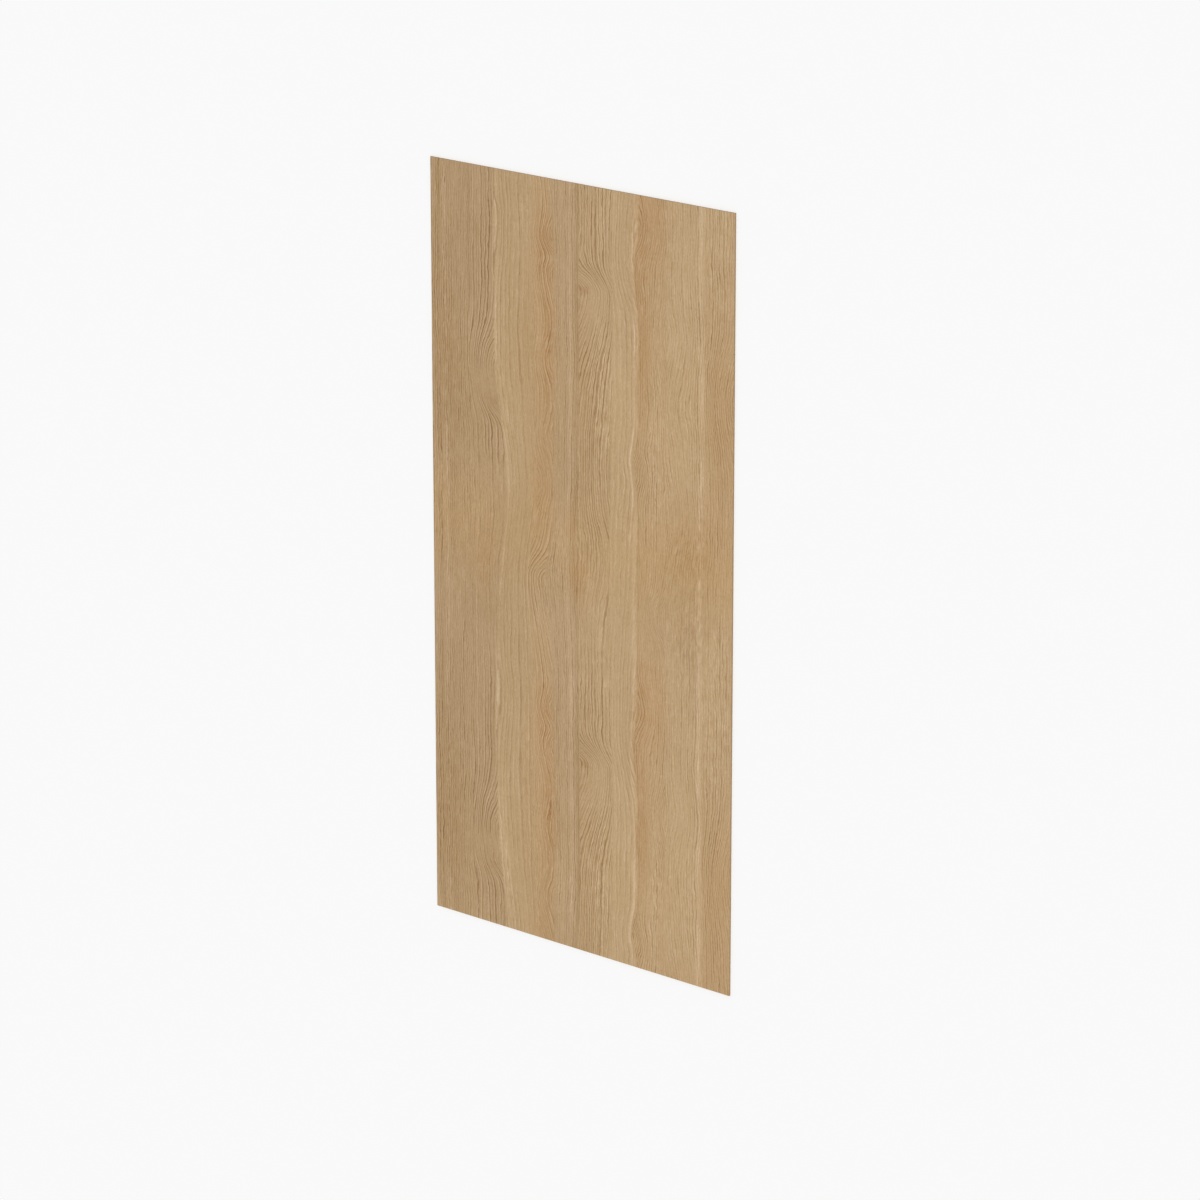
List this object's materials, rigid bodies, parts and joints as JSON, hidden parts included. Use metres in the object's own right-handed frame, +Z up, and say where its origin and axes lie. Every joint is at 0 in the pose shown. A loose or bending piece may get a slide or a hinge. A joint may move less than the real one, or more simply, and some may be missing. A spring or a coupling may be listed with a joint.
{
  "type": "plywood sheet",
  "caption": "Thin rectangular plywood sheet with an oak face veneer, sawn square edges and sanded arrises, for lining, panelling and furniture backs.",
  "frame": {"origin": "middle of the back face, on the surface that the sheet lies on", "axes": "+Z up out of the good face, +Y along the length and the face grain, +X across the width"},
  "size_m": [1.22, 2.44, 0.006],
  "materials": {
    "oak_plywood": "matt sanded oak veneer, unfinished sawn edges"
  },
  "bodies": {
    "root": {"plywood_sheet": "oak_plywood"}
  },
  "joints": []
}
